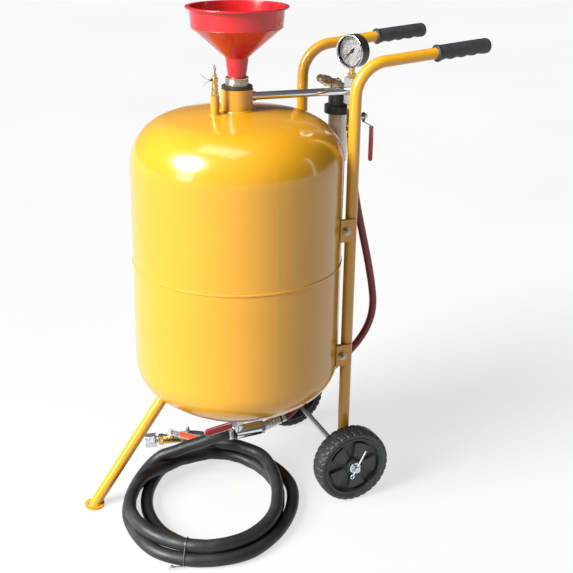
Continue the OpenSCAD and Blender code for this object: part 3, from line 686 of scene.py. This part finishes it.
def grip(name, node, s):
    """A moulded handle grip: a flange, finger hollows underneath, side ribs and a rounded end."""
    rise = math.radians(4.5)
    start = at(s * 114, 241.136 + 103.53 * math.cos(rise), 865.809 + 103.53 * math.sin(rise))
    m = axes(start, (0, math.cos(rise), math.sin(rise)), (1, 0, 0))
    down = m.to_3x3().inverted() @ Vector((0, 0, -1))
    down_angle = math.atan2(down.y, down.x)
    rings, sides = [], 72
    stations = [0.0, 0.4, 1.2, 3.8, 4.6, 5.2, 6.0] + [6.0 + 2.0 * k for k in range(1, 48)] + [
        103.0, 105.0, 107.0, 108.8, 110.2, 111.2, 111.8, 112.0]
    for z in stations:
        if z <= 5.2:
            base = 16.0 - max(0.0, 0.9 - z) * 0.9 - max(0.0, z - 3.8) * 0.95
        elif z > 103.0:
            base = 14.4 - 3.2 * ((z - 103.0) / 9.0) ** 3
        else:
            base = 14.4
        end_groove = 0.7 * math.exp(-((z - 99.0) / 0.9) ** 2)
        ring = []
        for k in range(sides):
            a = 2 * math.pi * k / sides
            r = base - end_groove
            if 6.0 < z < 102.0:
                facing = max(0.0, math.cos(a - down_angle)) ** 1.5
                r -= facing * 2.1 * (0.5 - 0.5 * math.cos(2 * math.pi * (z - 7.0) / 23.0))
                side = abs(math.sin(a - down_angle))
                if side > 0.75 and 12.0 < z < 94.0:
                    r += 0.25 * math.cos(2 * math.pi * z / 4.0)
            ring.append(m @ Vector((r * math.cos(a) / 1000, r * math.sin(a) / 1000, z / 1000)))
        rings.append(ring)
    verts, faces = loft(rings)
    obj = piece(name, verts, faces, grip_rubber, "machine")
    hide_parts(node)


grip("grip_left", "left_grip", -1)
grip("grip_right", "right_grip", 1)


# ---------------------------------------------------------------- lever grips

def lever_frame(pos, flow, stem, lift, turn):
    """The frame of a valve's lever: X along the lever, Z along the stem, as the CAD places it."""
    x, z = Vector(flow).normalized(), Vector(stem).normalized()
    m = Matrix((x, z.cross(x), z)).transposed().to_4x4()
    m.translation = at(*pos)
    return m @ Matrix.Translation((0, 0, lift / 1000)) @ Matrix.Rotation(math.radians(turn), 4, "Z")


def lever_grip(name, m, length, rise, width, mat, body):
    """A dipped vinyl sleeve over a flat lever: narrow lip, flared sides, rounded rolled end."""
    mid = rise + 1.0
    rings, sides = [], 32
    stations = [(21.5, 0.70, 0.82), (22.0, 0.84, 1.0), (23.4, 0.86, 1.03), (25.0, 0.84, 0.96),
                (30.0, 0.93, 0.98), (36.0, 1.0, 1.0), (length * 0.55, 1.02, 1.0), (length * 0.8, 1.05, 1.02)]
    end = width * 0.52
    stations += [(length - end + end * math.sin(t), 1.05 * max(0.12, math.cos(t)),
                  1.02 - 0.35 * (t / 1.5) ** 4)
                 for t in (0.1, 0.45, 0.8, 1.05, 1.25, 1.4, 1.5)]
    for x, w, h in stations:
        ring = []
        for k in range(sides):
            a = 2 * math.pi * k / sides
            c, s = math.cos(a), math.sin(a)
            y = math.copysign(abs(c) ** 0.55, c) * width / 2 * w
            z = math.copysign(abs(s) ** 0.55, s) * 2.7 * h + mid - 0.035 * y * y * (0.25 if s < 0 else 0.1)
            ring.append(m @ Vector((x / 1000, y / 1000, z / 1000)))
        rings.append(ring)
    verts, faces = loft(rings)
    piece(name, verts, faces, mat, body)


turned, droop = math.radians(-112), math.radians(7)
nozzle_flow = Vector((math.cos(droop) * math.cos(turned), math.cos(droop) * math.sin(turned),
                      -math.sin(droop)))
upright = Vector((math.sin(droop) * math.cos(turned), math.sin(droop) * math.sin(turned), math.cos(droop)))
nozzle_stem = upright * math.cos(math.radians(30)) + upright.cross(nozzle_flow) * math.sin(math.radians(30))
lever_grip("inlet_lever_grip", lever_frame((-66, 222, 797), (1, 0, 0), (0, 1, 0), 16, 90), 90, 6, 11,
           red_vinyl, "inlet_handle")
lever_grip("hose_lever_grip", lever_frame((30, 222, 747), (0, 0, -1), (0, 1, 0), 24, 0), 90, 18, 11,
           red_vinyl, "hose_handle")
lever_grip("metering_lever_grip", lever_frame((0, 0, 137), (0, 0, -1), (1, 0, 0), 22, -83), 80, 4, 15,
           red_vinyl, "metering_handle")
lever_grip("nozzle_lever_grip", lever_frame((-114, -104, 42), nozzle_flow, nozzle_stem, 24, 157), 90, 3, 16,
           orange_vinyl, "nozzle_handle")


# ---------------------------------------------------------------- gauge face

def gauge_frame():
    turn = math.radians(23)
    c, s = math.cos(turn), math.sin(turn)
    m = Matrix(((c, 0, s), (s, 0, -c), (0, 1, 0))).to_4x4()
    m.translation = at(24, 222, 872)
    return m


def gauge_angle(share):
    """Angle on the dial for a share of the full reading, clockwise from the lower left."""
    return math.radians(225 - 270 * share)


def dial_block(m, a, r0, r1, width, low=2.02, high=2.2):
    """A thin raised mark along a radius of the dial."""
    along, across = Vector((math.cos(a), math.sin(a), 0)), Vector((-math.sin(a), math.cos(a), 0))
    flat = [along * r0 - across * width / 2, along * r1 - across * width / 2,
            along * r1 + across * width / 2, along * r0 + across * width / 2]
    return loft([[m @ ((p + Vector((0, 0, z))) / 1000) for p in flat] for z in (low, high)])


def dial_arc(m, share0, share1, r0, r1, low=2.02, high=2.16, count=40):
    rings = []
    for k in range(count + 1):
        a = gauge_angle(share0 + (share1 - share0) * k / count)
        rings.append([m @ (Vector((r * math.cos(a), r * math.sin(a), z)) / 1000)
                      for r, z in ((r0, low), (r1, low), (r1, high), (r0, high))])
    return loft(rings)


def gauge_face():
    m = gauge_frame()
    marks = [dial_block(m, gauge_angle(k / 50), 22.2 if k % 5 else 20.6, 24.6, 0.38 if k % 5 else 0.75)
             for k in range(51)]
    marks += [dial_arc(m, 0, 1, 24.6, 25.0), dial_arc(m, 0, 1, 14.0, 14.25)]
    marks += [dial_block(m, gauge_angle(k / 20), 12.6 if k % 2 else 11.6, 14.0, 0.35) for k in range(21)]
    verts, faces = join(*marks)
    piece("gauge_scale", verts, faces, dial_black, "machine", smooth=False)
    verts, faces = join(dial_arc(m, 0.8, 1.0, 25.4, 26.6), dial_block(m, gauge_angle(-0.08), 18.0, 26.0, 1.0))
    piece("gauge_red_marks", verts, faces, dial_red, "machine", smooth=False)
    digits = []
    for k in range(6):
        a = gauge_angle(k / 5)
        text = bpy.data.curves.new("digits", "FONT")
        text.body, text.size, text.extrude = str(2 * k), 0.0046, 0.00008
        text.align_x, text.align_y = "CENTER", "CENTER"
        lone = bpy.data.objects.new("digits", text)
        scene.collection.objects.link(lone)
        bpy.context.view_layer.update()
        mesh = bpy.data.meshes.new_from_object(lone)
        place = m @ Matrix.Translation((0.0178 * math.cos(a), 0.0178 * math.sin(a), 0.00214))
        digits.append(([place @ v.co for v in mesh.vertices], [tuple(p.vertices) for p in mesh.polygons]))
        bpy.data.objects.remove(lone)
        bpy.data.meshes.remove(mesh)
    verts, faces = join(*digits)
    piece("gauge_digits", verts, faces, dial_black, "machine", smooth=False)


gauge_face()


# ---------------------------------------------------------------- small fittings

def relief_pin():
    """The split pin through the relief valve's cap: two thin spread legs and a dark bead."""
    base = at(20, -50, 835)
    parts = []
    for end in ((8, -26, 13), (3, -22, -10)):
        tip = Vector(end) / 1000
        path = [base + Vector((0, -0.003, 0)) + Vector((tip.x * s, tip.y * s, tip.z * s * s)) for s in
                (k / 16 for k in range(17))]
        parts.append(sweep(path, 0.0006, 8))
    verts, faces = join(*parts)
    piece("relief_pin_legs", verts, faces, zinc, "machine")
    ball = [(2.4 * math.sin(t), -2.4 * math.cos(t)) for t in (math.pi * k / 16 for k in range(17))]
    verts, faces = lathe([(max(r, 0.01), z) for r, z in ball], axes(base + Vector((0.001, -0.0076, 0.0005)),
                                                                     (0, -1, 0)), 28, closed=False)
    piece("relief_pin_bead", verts, faces, black_plastic, "machine")


def relief_adjuster():
    """The knurled adjusting nut and the lock ring on the relief valve's body."""
    m = axes(at(20, -50, 0), (0, 0, 1))
    rings = []
    for z, r in ((815.0, 5.3), (815.4, 6.2), (819.6, 6.2), (820.0, 5.3)):
        rings.append([m @ Vector(((r - 0.35 * (k % 2)) * math.cos(a) / 1000,
                                  (r - 0.35 * (k % 2)) * math.sin(a) / 1000, z / 1000))
                      for k, a in ((k, 2 * math.pi * k / 60) for k in range(60))])
    nut = loft(rings)
    ring = lathe([(5.05, 823.0), (5.9, 823.2), (6.0, 824.4), (5.9, 825.6), (5.05, 825.8)], m, 48)
    verts, faces = join(nut, ring)
    piece("relief_adjuster", verts, faces, brass, "machine", smooth=False)


def barbs(name, centre, direction, radii, mat):
    """Raised barbs on a hose tail: radii are (radius, distance along it) in mm."""
    m = axes(centre, direction)
    parts = [lathe([(r - 0.9, z), (r, z + 0.2), (r, z + 1.0), (r - 0.9, z + 3.4)], m, 48) for r, z in radii]
    verts, faces = join(*parts)
    piece(name, verts, faces, mat, "machine")


def collar_thread():
    """Thread crests cut on the collar under the funnel."""
    m = axes(at(0, 0, 0), (0, 0, 1))
    count, turns = 48, 4
    points = [m @ (Vector((20.7 * math.cos(a), 20.7 * math.sin(a), 822.6 + 1.9 * a / (2 * math.pi))) / 1000)
              for a in (2 * math.pi * k / count for k in range(count * turns))]
    verts, faces = sweep(points, 0.0006, 8)
    piece("collar_thread", verts, faces, zinc, "machine")


def funnel_beads():
    """The rolled bead under the funnel's rim, and the bead where its band meets the cone."""
    m = axes(at(0, 0, 0), (0, 0, 1))
    beads = [lathe([(r + thick * math.cos(t), z + thick * math.sin(t))
                    for t in (2 * math.pi * k / count for k in range(count))], m, 128)
             for r, z, thick, count in ((92.6, 960.2, 1.0, 14), (83.2, 924.9, 0.7, 12))]
    verts, faces = join(*beads)
    piece("funnel_rolled_rim", verts, faces, red_plastic, "funnel")


relief_pin()
relief_adjuster()
collar_thread()
funnel_beads()
barbs("tail_barbs", at(0, 56, 99.3), (0, 39, 9.7), [(10.1, 12.0), (10.1, 18.0), (10.1, 24.0)], zinc)


# ---------------------------------------------------------------- floor and light

def studio():
    floor_mat, nodes, links, bsdf = shader("pale_floor")
    cloud = noise(nodes, links, 0.8, 3.0)
    links.new(ramp(nodes, links, cloud.outputs["Fac"],
                   [(0.3, (0.12, 0.12, 0.12)), (0.7, (0.135, 0.135, 0.135))]), bsdf.inputs["Base Color"])
    bsdf.inputs["Roughness"].default_value = 0.85
    bsdf.inputs["Specular IOR Level"].default_value = 0.1
    bsdf.inputs["Emission Color"].default_value = (1, 1, 1, 1)
    bsdf.inputs["Emission Strength"].default_value = 0.70
    mesh = bpy.data.meshes.new("floor")
    corners = ((-1, -1), (1, -1), (1, 1), (-1, 1))
    mesh.from_pydata([(40 * x, 40 * y, -0.0006) for x, y in corners], [], [(0, 1, 2, 3)])
    mesh.materials.append(floor_mat)
    floor = bpy.data.objects.new("floor", mesh)
    scene.collection.objects.link(floor)

    world = bpy.data.worlds.new("studio")
    world.use_nodes = True
    nodes, links = world.node_tree.nodes, world.node_tree.links
    coord, split = nodes.new("ShaderNodeTexCoord"), nodes.new("ShaderNodeSeparateXYZ")
    links.new(coord.outputs["Generated"], split.inputs["Vector"])
    links.new(ramp(nodes, links, split.outputs["Y"],
                   [(0.0, (0.27, 0.28, 0.30)), (0.5, (0.04, 0.042, 0.046))]),
              nodes["Background"].inputs["Color"])
    nodes["Background"].inputs["Strength"].default_value = 1.0
    scene.world = world


def softbox(name, place, look, size, watts):
    data = bpy.data.lights.new(name, "AREA")
    data.shape, data.size, data.size_y = "RECTANGLE", size[0], size[1]
    data.energy = watts
    light = bpy.data.objects.new(name, data)
    scene.collection.objects.link(light)
    light.location = place
    light.rotation_euler = (Vector(look) - Vector(place)).to_track_quat("-Z", "Y").to_euler()


studio()
softbox("key_left", (0.7, -2.6, 1.5), (0, 0, 0.5), (0.8, 1.8), 35)
softbox("overhead", (0.4, -0.7, 3.0), (0, 0, 0.4), (1.6, 0.9), 18)
softbox("strip_right", (1.2, 2.4, 1.3), (0, 0, 0.6), (0.14, 1.6), 3)
sun_data = bpy.data.lights.new("sun_left", "SUN")
sun_data.energy, sun_data.angle = 9.0, math.radians(30)
sun = bpy.data.objects.new("sun_left", sun_data)
scene.collection.objects.link(sun)
sun.rotation_euler = Vector((-0.12, 0.80, -0.57)).to_track_quat("-Z", "Y").to_euler()
